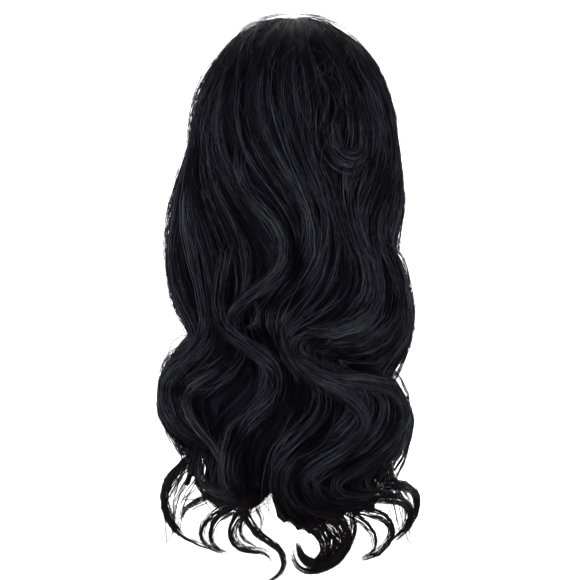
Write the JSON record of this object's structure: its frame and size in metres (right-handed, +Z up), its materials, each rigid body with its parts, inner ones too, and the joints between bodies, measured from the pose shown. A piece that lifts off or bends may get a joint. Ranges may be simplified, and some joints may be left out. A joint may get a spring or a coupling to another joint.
{
  "type": "lace front wig",
  "caption": "Long black body-wave lace front wig in its worn shape: net cap, sheer lace front, hair over the crown and hanging wavy locks with curled ends.",
  "frame": {"origin": "highest point of the cap's inside, where the wearer's crown touches it", "axes": "+Z up, +Y towards the wearer's face, +X to the wearer's right, so the back of the wig faces -Y"},
  "size_m": [0.2567, 0.2204, 0.564],
  "materials": {
    "cap_net": "matt black stretch net",
    "lace": "sheer brown lace net",
    "hair": "black wavy hair with a soft sheen"
  },
  "bodies": {
    "root": {"cap_back_left": "cap_net", "cap_back_right": "cap_net", "cap_front_left": "cap_net", "cap_front_right": "cap_net", "lace_front": "lace", "crown_back": "hair", "crown_left": "hair", "crown_right": "hair", "lock_back_01": "hair", "lock_back_02": "hair", "lock_back_03": "hair", "lock_back_04": "hair", "lock_back_05": "hair", "lock_back_06": "hair", "lock_back_07": "hair", "lock_back_08": "hair", "lock_back_09": "hair", "lock_back_10": "hair", "lock_back_11": "hair", "lock_back_12": "hair", "lock_back_13": "hair", "lock_back_14": "hair", "lock_left_1": "hair", "lock_left_2": "hair", "lock_left_3": "hair", "lock_right_1": "hair", "lock_right_2": "hair", "lock_right_3": "hair"}
  },
  "joints": []
}
